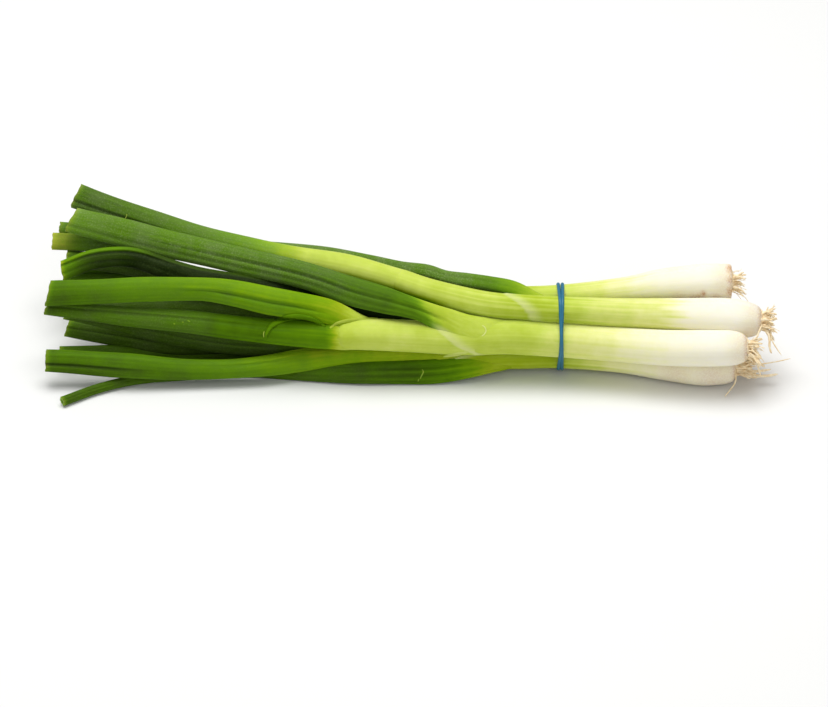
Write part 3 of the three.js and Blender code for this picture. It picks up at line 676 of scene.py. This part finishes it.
# Where the broad leaf's lower edge is the pale collar of the sheath that wraps the shank: the places along
# the bunch where that starts, is full, begins to fade and ends.
COLLAR = {"onion_1_leaf_1": (6, 12, 20, 28)}
# Painted shade on the side that a leaf turns down: how much darker it is, the place across where that starts,
# and the share of the leaf's length where it has faded out, past 1 where it hasn't by the cut.
LOWER_SIDE_SHADE = {
    "onion_5_leaf_1": (0.3, 0.8, 1.03),
    "onion_2_leaf_2": (0.35, -0.3, 0.5),
    "onion_2_leaf_1": (0.2, -0.5, 0.5),
    "onion_4_leaf_2": (0.05, 0.4, 2),
    "onion_1_leaf_2": (0.05, 0.4, 2),
}
# The shares of a leaf's length between which its bloom sets in: most leaves', and the others'.
BLOOM_SETS_IN = (0.1, 0.35)
BLOOM_FROM = {"onion_1_leaf_1": (0.2, 0.6), "onion_2_leaf_1": (0.03, 0.2), "onion_1_leaf_3": (0.4, 0.5)}
# How dry a cut has become, and from which share of the length on: most leaves', and the driest one's.
DRIED_CUT = (0.12, 0.988)
DRIED_ENDS = {"onion_2_leaf_1": (0.26, 0.93)}
# How much less green the last bit before the cut is.
CUT_PALER = 0.12
LEAF_VEINS = 0.22
# Half the width of a crease and of its painted shade and highlight, as a share of the leaf's half width.
CREASE_WIDTH, FOLD_WIDTH = 0.14, 0.1

# Grown leaves: a dull wax bloom lies on them in patches and specks, and greys them where seen edge-on.
WAXY = ("onion_1_leaf_1", "onion_2_leaf_1", "onion_2_leaf_2", "onion_3_leaf_1")
WAXY_GREENS = GREENS[:6] + (
    (0.62, "#92AE28"), (0.72, "#739916"), (0.82, "#5C8410"), (0.9, "#50750D"), (1.0, "#3B5909"),
    # Almost black, past 1: painted shade.
    (1.2, "#152504"),
)
waxy_skin = plant_skin("waxy_leaf_skin", WAXY_GREENS, "#A1B57A", 0.5, 0.08)
# Tender leaves: brighter, smoother and with hardly any bloom.
tender_skin = plant_skin("tender_leaf_skin", GREENS, "#9DB56E", 0.45, 0.0)

# The inside of a leaf, wet and paler than its skin, which shows at the cut.
leaf_inside, surface, links = new_material("leaf_inner_wall")
grown = add_node(leaf_inside, "ShaderNodeAttribute", {"attribute_name": "grown"}, {}, "Vector")
streaks = add_node(leaf_inside, "ShaderNodeTexNoise", {}, {"Vector": grown, "Scale": 0.8, "Detail": 2}, "Fac")
flesh = add_node(
    leaf_inside,
    "ShaderNodeMix",
    {"data_type": "RGBA"},
    {FACTOR: streaks, COLOUR_A: linear("#6E9A22"), COLOUR_B: linear("#A5C24C")},
    MIXED_COLOUR,
)
links.new(flesh, surface.inputs["Base Color"])
surface.inputs["Roughness"].default_value = 0.35
surface.inputs["Specular IOR Level"].default_value = 0.2

for name, (route, flat, turn, slant, greenness, waxy, creases) in LEAVES.items():
    shake = np.random.default_rng(sum(map(ord, name)))
    waves = shake.uniform(0, 2 * np.pi, 4)
    rooted = ROOTED if name[:7] in ("onion_1", "onion_2", "onion_4") else ROOTED_HIDDEN

    def crease_run(share, angle, start, end):
        """How strong a crease is: it fades in and out along the leaf and stays on the side of the eye."""
        fading = ease(start, start + 0.12, share) * (1 - 0.9 * ease(end - 0.1, end, share) * (end < 1))
        return fading * ease(0, 0.4, np.sin(angle))

    def leaf_outline(t, angle, reach, past):
        wide = through([[station[3]] for station in route], t)[:, 0]
        thick = wide * (flat[0] + (flat[1] - flat[0]) * t)
        # It narrows where it goes into its sheath, and its edges are a little wavy.
        tuck = 1 - 0.4 * ease(0, -rooted, past)
        wide = wide * tuck * (1 + 0.02 * np.sin(reach * 0.16 + waves[0]) * np.cos(angle))
        thick = thick * tuck * (1 + 0.05 * np.sin(reach * 0.12 + waves[1]))
        across = wide * np.cos(angle)
        out = thick * np.sin(angle)
        for middle, depth, start, end in creases:
            apart = (np.cos(angle) - middle) / CREASE_WIDTH
            out = out - depth * crease_run(t, angle, start, end) * np.exp(-(apart**2))
        # The knife's cut is slanted and not quite even.
        uneven = 0.16 * np.sin(3 * angle + waves[2]) + 0.1 * np.sin(8 * angle + waves[3])
        return across, out, ease(0.9, 1, t) * (uneven - slant * across)

    leaf = rolled(name + "_blade", route, turn, LEAF_AROUND, LEAF_SPACING, leaf_outline, rooted)
    along, _, _ = seen(points_of(leaf) / MM)
    on_tube = grown_of(leaf)
    share = on_tube[:, 2] / leaf["length"]
    face = np.arctan2(on_tube[:, 1], on_tube[:, 0])
    fringe = 0.5 * np.sin(9 * face + waves[0]) + 0.4 * np.sin(19 * face + waves[1])
    slanted = along + fringe + GREEN_SLANT.get(name, 0) * np.cos(face)
    green = np.interp(slanted, *zip(*greenness)) - CUT_PALER * ease(0.98, 1, share)
    # The side that a leaf turns down is painted darker, as shade.
    darker, edge, until = LOWER_SIDE_SHADE.get(name, (0, 0, 1))
    green += darker * ease(-edge, 0.5 - edge, -np.cos(face)) * (1 - ease(until - 0.15, until, share))
    paint(leaf, "green", green)
    paint(leaf, "vein", LEAF_VEINS)
    if name in COLLAR:
        start, full, fading, end = COLLAR[name]
        window = ease(start, full, along) * (1 - ease(fading, end, along))
        paint(leaf, "edge", 0.4 * window * ease(0.35, 0.8, -np.cos(face)))
    dried, dry_from = DRIED_ENDS.get(name, DRIED_CUT)
    paint(leaf, "dry", dried * ease(dry_from, 1, share))
    # An end that has dried a long way back has lost its bloom there.
    bloom = waxy * ease(*BLOOM_FROM.get(name, BLOOM_SETS_IN), share)
    paint(leaf, "bloom", bloom * (1 - ease(dry_from - 0.05, dry_from + 0.05, share) * (name in DRIED_ENDS)))
    # A crease is painted darker in its fold, as shade, and lighter on its upper lip, as a highlight.
    folds = np.zeros(len(share))
    for middle, depth, start, end in creases:
        run = crease_run(share, face, start, end)
        folds += 0.12 * depth * run * np.exp(-(((np.cos(face) - middle) / FOLD_WIDTH) ** 2))
        folds -= 0.06 * depth * run * np.exp(-(((np.cos(face) - middle - 0.22) / FOLD_WIDTH) ** 2))
    paint(leaf, "fold", folds)
    leaf.data.materials.append(waxy_skin if name in WAXY else tender_skin)
    leaf.data.materials.append(leaf_inside)
    wall = leaf.modifiers.new("wall", "SOLIDIFY")
    wall.thickness = LEAF_WALL * MM
    wall.offset = -1
    wall.material_offset = 1
    wall.material_offset_rim = 1
    bpy.ops.object.modifier_apply(modifier="wall")
    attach(leaf, "root")
    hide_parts(name)

# Sheath edges, rims and marks
# Thin ridges on the skin: dry edges of sheaths at the collars, the rim that curls over at the third leaf's
# mouth, and a few nicks, wax specks and a hair. Each is a thin strip, laid on what is under it.
EDGE_WALL = 0.12
EDGE_SUNK = 0.05  # how deep the sides of a strip lie in the skin
EDGE_ENDS = 0.12  # the share of a strip's length over which it thins out at each end
# The skin under a strip is looked for from this far in front of the layout's origin to as far behind it.
PROBE = 60
# Each: the onion it lies on; its middle line as along, up and half width; its height; how pale and how green.
EDGES = {
    "lower_collar_tip": (
        "onion_1", [(12.2, 11.2, 0.3), (15.2, 11.8, 0.6), (18.6, 12.4, 0.8), (23, 13.2, 0.5)], 0.12, 0.2, 0.46
    ),
    "pale_rim_below_leaf": (
        "onion_1",
        [(-16, 27.6, 0.3), (-20, 27.6, 0.5), (-24.2, 27.3, 0.6), (-28.2, 26.8, 0.7), (-31.6, 26.1, 0.7),
         (-34, 25.2, 0.6), (-36.6, 23.4, 0.4)],
        0.3, 0.06, 0.56,
    ),
    "curled_rim": (
        "onion_1",
        [(-64.2, 18.6, 0.4), (-63.2, 21.8, 0.9), (-61.2, 24.6, 1.2), (-57.8, 26.8, 1.35), (-54, 27.9, 1.4),
         (-50, 28.2, 1.35), (-46, 27.8, 1.2), (-42, 26.4, 1), (-38, 24.2, 0.5)],
        1.3, 0, 0.86,
    ),
    "curl_mark": (
        "onion_1",
        [(28.4, 24.9, 0.2), (29.9, 23.8, 0.3), (30.4, 22.2, 0.3), (29.6, 20.8, 0.3), (28.4, 19.9, 0.2)],
        0.15, 0.3, 0.42,
    ),
    "low_leaf_mark": (
        "onion_4", [(3, 6, 0.2), (3.6, 4.7, 0.28), (2.8, 3, 0.28), (2.1, 1.5, 0.2)], 0.15, 0.1, 0.7
    ),
    "low_leaf_mark_2": ("onion_4", [(1.7, 1.8, 0.2), (1.3, 0.5, 0.2)], 0.15, 0.1, 0.7),
    "nick": ("onion_1", [(-64.5, 22.3, 0.15), (-64.8, 20.8, 0.22), (-64.6, 19.3, 0.15)], 0.15, 0.15, 0.6),
    "wax_speck": ("onion_1", [(-103.4, 25.4, 0.25), (-102.6, 25.2, 0.25)], 0.1, 0.04, 0.7),
    "wax_speck_2": ("onion_1", [(-97.4, 26.8, 0.25), (-96.2, 26.2, 0.25)], 0.1, 0.04, 0.72),
    "wax_speck_3": ("onion_1", [(-99.8, 26.1, 0.2), (-98.9, 26, 0.2)], 0.1, 0.04, 0.72),
    "hair": ("onion_1", [(-124.1, 70.2, 0.15), (-123.5, 71.2, 0.15), (-123.3, 72.3, 0.1)], 0.5, 0.12, 0.56),
}
# Dry sheath: the same skin with no moist flesh under it to glow.
dry_sheath = plant_skin("dry_sheath", GREENS, "#DDE8C8", 0.55, 0.0)
dry_sheath.node_tree.nodes["Principled BSDF"].inputs["Subsurface Weight"].default_value = 0

for name, (onion, stations, height, pale, greenness) in EDGES.items():
    under = [
        piece
        for piece in bpy.context.scene.objects
        if piece.name.startswith(onion) and piece.name.endswith(("_skin", "_blade"))
    ]
    stations = np.array(stations, float)
    long = np.linalg.norm(np.diff(stations[:, :2], axis=0), axis=1).sum()
    strip, flat = sheet(name, 8, max(6, int(long / 0.5)))
    side, share = -flat[:, 0], (flat[:, 1] + 1) / 2
    middle = through(stations, share)
    heading = through(stations, share + 0.01) - through(stations, share - 0.01)
    heading = heading[:, :2] / np.linalg.norm(heading[:, :2], axis=1)[:, None]
    right = np.stack([heading[:, 1], -heading[:, 0]], 1)
    spots = middle[:, :2] + right * (side * middle[:, 2])[:, None]
    # Each point is laid on the nearest skin that the eye sees there, or where it sees none, at the deepest.
    depth = []
    for along, up in spots:
        start, far = placed([(along, up, -PROBE), (along, up, PROBE)])
        toward = Vector(far - start).normalized()
        hits = [piece.ray_cast(Vector(start) * MM, toward) for piece in under]
        reached = [seen(np.array([hit[1]]) / MM)[2][0] for hit in hits if hit[0]]
        depth.append(min(reached) if reached else np.nan)
    depth = np.array(depth)
    depth[np.isnan(depth)] = np.nanmax(depth)
    ends = np.clip(np.minimum(share, 1 - share) / EDGE_ENDS, 0, 1) ** 0.5
    lift = height * np.sqrt(np.clip(1 - side**2, 0, 1)) * ends - EDGE_SUNK
    paint(strip, "green", greenness)
    paint(strip, "vein", 0.5)
    paint(strip, "edge", pale * ends)
    grown = np.stack([spots[:, 1], spots[:, 0] * 0, spots[:, 0]], 1)
    strip.data.attributes.new("grown", "FLOAT_VECTOR", "POINT").data.foreach_set("vector", grown.ravel())
    strip.data.vertices.foreach_set("co", (placed(np.column_stack([spots, depth - lift])) * MM).ravel())
    strip.data.materials.append(dry_sheath)
    bpy.ops.object.mode_set(mode="EDIT")
    bpy.ops.mesh.select_all(action="SELECT")
    if Vector(strip.data.polygons[0].normal) @ Vector(BACK) > 0:
        bpy.ops.mesh.flip_normals()
    bpy.ops.object.mode_set(mode="OBJECT")
    bpy.ops.object.shade_smooth()
    wall = strip.modifiers.new("wall", "SOLIDIFY")
    wall.thickness = EDGE_WALL * MM
    wall.offset = -1
    bpy.ops.object.modifier_apply(modifier="wall")
    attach(strip, "root")

# Roots
# A hard plate closes the end of each bulb, and short dried roots, trimmed unevenly, grow out of it. A few
# long thin ones were missed by the knife.
PLATE_THICK = 1.6
PLATE_SHARE = 0.86  # the plate's radius over the bulb's at its end
PLATE_SUNK = 0.6  # how deep it starts inside the bulb
PLATE_AROUND, PLATE_SPACING = 40, 0.15
# The thinnest and the thickest radius of a stub and of a fine root.
STUB_RADII = (0.42, 0.78)
FINE_RADII = (0.15, 0.27)
ROOT_AROUND, ROOT_SPACING = 7, 0.6
# Each tuft: how many stubs and fine roots it has, how long they are at least and at most, and how far they
# spread and droop.
TUFTS = {
    "onion_1": (30, 44, 2.5, 7.5, 0.85, 0.3), "onion_2": (40, 36, 3, 7.5, 0.95, 0.1),
    "onion_3": (8, 44, 3, 7.5, 0.7, 0.15), "onion_4": (36, 40, 3.5, 10, 0.5, 0.0),
    "onion_5": (24, 24, 3, 7, 0.9, 0.3), "onion_6": (24, 24, 3, 7, 0.9, 0.3),
}
# Single roots: radius, and along, up and back of the places they pass.
STRANDS = {
    "onion_1": [(0.5, [(143, 16, -16), (146, 19, -16.5), (147.5, 22.6, -16), (148.6, 25, -15)])],
    "onion_2": [
        (0.45, [(149, 29, -9), (152, 24, -10.5), (153, 18, -11.5), (157, 11.6, -12)]),
        (0.7, [(149, 24, -10), (151.6, 20, -11.4), (151.8, 15.5, -12), (152.6, 12.5, -12)]),
    ],
    "onion_4": [
        (0.4, [(138, 9, -3.5), (146, 8, -3.2), (154, 9, -2), (161, 10.5, -1)]),
        (0.45, [(137.5, 4, -4.5), (137, 0, -6.5), (134.5, -3.5, -8), (132.5, -6, -9.6)]),
        (0.95, [(138, 4.6, -3.4), (144, 3.2, -3.6), (150, 3, -3.8), (155.5, 3.8, -3.8)]),
        (0.8, [(138, 6.4, -4), (143, 5, -4.6), (148, 5.2, -4.8), (152.5, 5.8, -4.6)]),
        (0.7, [(138, 8, -4.5), (142.5, 8.6, -5), (147, 8, -5.2), (150, 7, -5)]),
    ],
}

# Dried root: papery and matt, pale tan in uneven patches, and wrinkled.
dried_root, surface, links = new_material("dried_root")
place = add_node(dried_root, "ShaderNodeTexCoord", {}, {}, "Object")
mottle = add_node(dried_root, "ShaderNodeTexNoise", {}, {"Vector": place, "Scale": 600, "Detail": 4}, "Fac")
tans = add_node(dried_root, "ShaderNodeValToRGB", {}, {"Fac": mottle}, "Color")
set_stops(tans.node, ((0.25, "#DEBE90"), (0.5, "#F4E0B8"), (0.75, "#FAF1DA")))
wrinkles = add_node(
    dried_root, "ShaderNodeBump", {}, {"Strength": 0.6, "Distance": 0.0003, "Height": mottle}, "Normal"
)
links.new(tans, surface.inputs["Base Color"])
links.new(wrinkles, surface.inputs["Normal"])
surface.inputs["Roughness"].default_value = 0.75

for number, (onion, route) in enumerate(SHANK_ROUTES.items(), 1):
    chance = np.random.default_rng(number)
    stubs, fine_ones, shortest, longest, spread, droop = TUFTS[onion]
    end, inner = placed(route[:2])
    outward = (end - inner) / np.linalg.norm(end - inner)
    plate_radius = route[0][3] * PLATE_SHARE
    roots = []
    for i in range(stubs + fine_ones):
        stub = i < stubs
        way = chance.uniform(0, 2 * math.pi)
        rim = math.sqrt(chance.uniform(0, 1))
        # It stands anywhere on the plate, and leans away from the plate's middle, more so near the rim.
        sideways = UP * math.cos(way) + BACK * math.sin(way)
        start = end + outward * PLATE_THICK * 0.3 + sideways * rim * (plate_radius - 0.7)
        length = chance.uniform(shortest, longest) * (1 if stub else chance.uniform(0.7, 1.25))
        radius = chance.uniform(*(STUB_RADII if stub else FINE_RADII))
        splay = spread * (0.15 + 0.85 * rim * chance.uniform(0.3, 1))
        curl = chance.uniform(0.6, 1.9) * (1 if stub else 0.8)
        turns = chance.uniform(0, 2 * math.pi, 2)
        bend = UP * math.cos(turns[0]) + BACK * math.sin(turns[0])
        line = [
            start
            + outward * length * s * (1 - 0.3 * splay * s)
            + sideways * length * splay * s**1.6
            - UP * length * droop * s**2
            + bend * curl * math.sin(4.5 * s + turns[1]) * s
            for s in (0, 0.2, 0.4, 0.6, 0.8, 1)
        ]
        # A root that would hang below the table top lies on it.
        line = np.array(line)
        line[:, 2] = np.maximum(line[:, 2], radius)
        roots.append([(*spot, radius) for spot in zip(*seen(line))])
    for radius, strand in STRANDS.get(onion, []):
        roots.append([(*spot, radius) for spot in strand])

    def root_outline(t, angle, reach, past):
        """Knotty, and half as thick at the tip."""
        radius = route_radius * (1 - 0.5 * t) * (1 + 0.14 * np.sin(reach * 2.3 + angle * 2))
        radius = radius * np.sqrt(np.clip(1 - ease(0.9, 1, t), 0, 1))
        return radius * np.cos(angle), radius * np.sin(angle), radius * 0

    pieces = []
    for root in roots:
        route_radius = root[0][3]
        pieces.append(rolled("root", root, 0, ROOT_AROUND, ROOT_SPACING, root_outline))

    def plate_outline(t, angle, reach, past):
        """A low dome with a rough rim."""
        wide = plate_radius * np.where(t <= 0, 0, 1) * np.sqrt(np.clip(1 - ease(0.2, 1, t), 0, 1))
        rough_rim = wide * (1 + 0.06 * np.sin(5 * angle) + 0.05 * np.sin(11 * angle + 2))
        return rough_rim * np.cos(angle), rough_rim * np.sin(angle), wide * 0

    plate_line = np.array([end + outward * away for away in (-PLATE_SUNK, 0.4, PLATE_THICK)])
    plate = [(*spot, plate_radius) for spot in zip(*seen(plate_line))]
    pieces.append(rolled("plate", plate, 0, PLATE_AROUND, PLATE_SPACING, plate_outline))
    bpy.ops.object.select_all(action="DESELECT")
    for piece in pieces:
        piece.select_set(True)
    bpy.context.view_layer.objects.active = pieces[-1]
    bpy.ops.object.join()
    tuft = bpy.context.object
    tuft.name = tuft.data.name = onion + "_dried_roots"
    tuft.data.materials.append(dried_root)
    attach(tuft, "root")
    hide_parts(onion + "_roots")

# Rubber band
# One round strand of blue rubber, stretched twice round all the stems. Its two turns lie a little apart and
# cross in front.
BAND_AT = 62.2  # along the bunch
BAND_SINK = 0.4  # how deep the strand presses into the stems
BAND_STRAND = 1.5  # the strand's thickness
BAND_SPREAD = 1.15  # how far each turn strays to its side
BAND_CROSSING = 0.345  # where the turns cross, as a share of one turn
BAND_STATIONS = 320  # rings of points along both turns

# The tightest line round the stems: in each direction, half a degree apart, it lies on the outermost stem.
band_x = BAND_AT + ORIGIN_SHIFT[0]
stems = []
for route in SHANK_ROUTES.values():
    share = np.linspace(0, 1, 2000)
    line = through(placed(route), share)
    nearest = np.abs(line[:, 0] - band_x).argmin()
    radius = through([[station[3]] for station in route], share[nearest : nearest + 1])[0, 0]
    stems.append((line[nearest, 1:], radius))
facing = np.radians(np.arange(720) / 2)
tight = []
for direction in np.stack([np.cos(facing), np.sin(facing)], 1):
    middle, radius = max(stems, key=lambda stem: stem[0] @ direction + stem[1])
    tight.append(middle + direction * (radius - BAND_SINK + BAND_STRAND / 2))
tight = np.array(tight + tight[:1])
run = np.concatenate([[0], np.cumsum(np.linalg.norm(np.diff(tight, axis=0), axis=1))])
run /= run[-1]

bpy.ops.object.select_all(action="DESELECT")
bpy.ops.mesh.primitive_torus_add(
    major_segments=BAND_STATIONS, minor_segments=16, major_radius=1, minor_radius=0.25
)
band = bpy.context.object
band.name = band.data.name = "blue_rubber_band"
ring = points_of(band)
# The torus is laid twice round the stems: half its round is one turn.
turns = np.arctan2(ring[:, 1], ring[:, 0]) / np.pi % 2
way = turns % 1
side = np.where(turns < 1, 1, -1)
wall_angle = np.arctan2(ring[:, 2], np.hypot(ring[:, 0], ring[:, 1]) - 1)
spot = np.stack([np.interp(way, run, tight[:, k]) for k in (0, 1)], 1)
step = 0.004
ahead = np.stack([np.interp((way + step) % 1, run, tight[:, k]) for k in (0, 1)], 1)
behind = np.stack([np.interp((way - step) % 1, run, tight[:, k]) for k in (0, 1)], 1)
heading = ahead - behind
heading /= np.linalg.norm(heading, axis=1)[:, None]
out = np.stack([heading[:, 1], -heading[:, 0]], 1)
stray = -side * BAND_SPREAD * np.sin((way - BAND_CROSSING) * np.pi)
# One turn climbs over the other where they cross.
over = np.where(side < 0, BAND_STRAND * 0.6 * np.exp(-(((way - BAND_CROSSING) / 0.05) ** 2)), 0)
thick = BAND_STRAND / 2
spot = spot + out * (over + thick * np.cos(wall_angle))[:, None]
band_spots = np.column_stack([band_x + stray + thick * np.sin(wall_angle), spot])
band.data.vertices.foreach_set("co", (band_spots * MM).ravel())
bpy.ops.object.mode_set(mode="EDIT")
bpy.ops.mesh.select_all(action="SELECT")
bpy.ops.mesh.normals_make_consistent(inside=False)
bpy.ops.object.mode_set(mode="OBJECT")
bpy.ops.object.shade_smooth()

# Natural rubber, dyed teal blue and cut from a tube: a dull sheen with a fine powdery grain.
blue_rubber, surface, links = new_material("blue_natural_rubber")
place = add_node(blue_rubber, "ShaderNodeTexCoord", {}, {}, "Object")
powder = add_node(blue_rubber, "ShaderNodeTexNoise", {}, {"Vector": place, "Scale": 900, "Detail": 3}, "Fac")
blues = add_node(
    blue_rubber,
    "ShaderNodeMix",
    {"data_type": "RGBA"},
    {FACTOR: powder, COLOUR_A: linear("#0F5C78"), COLOUR_B: linear("#1A7090")},
    MIXED_COLOUR,
)
grain = add_node(
    blue_rubber, "ShaderNodeBump", {}, {"Strength": 0.3, "Distance": 0.0001, "Height": powder}, "Normal"
)
links.new(blues, surface.inputs["Base Color"])
links.new(grain, surface.inputs["Normal"])
surface.inputs["Roughness"].default_value = 0.45
surface.inputs["IOR"].default_value = 1.52
band.data.materials.append(blue_rubber)
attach(band, "root")
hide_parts("rubber_band")
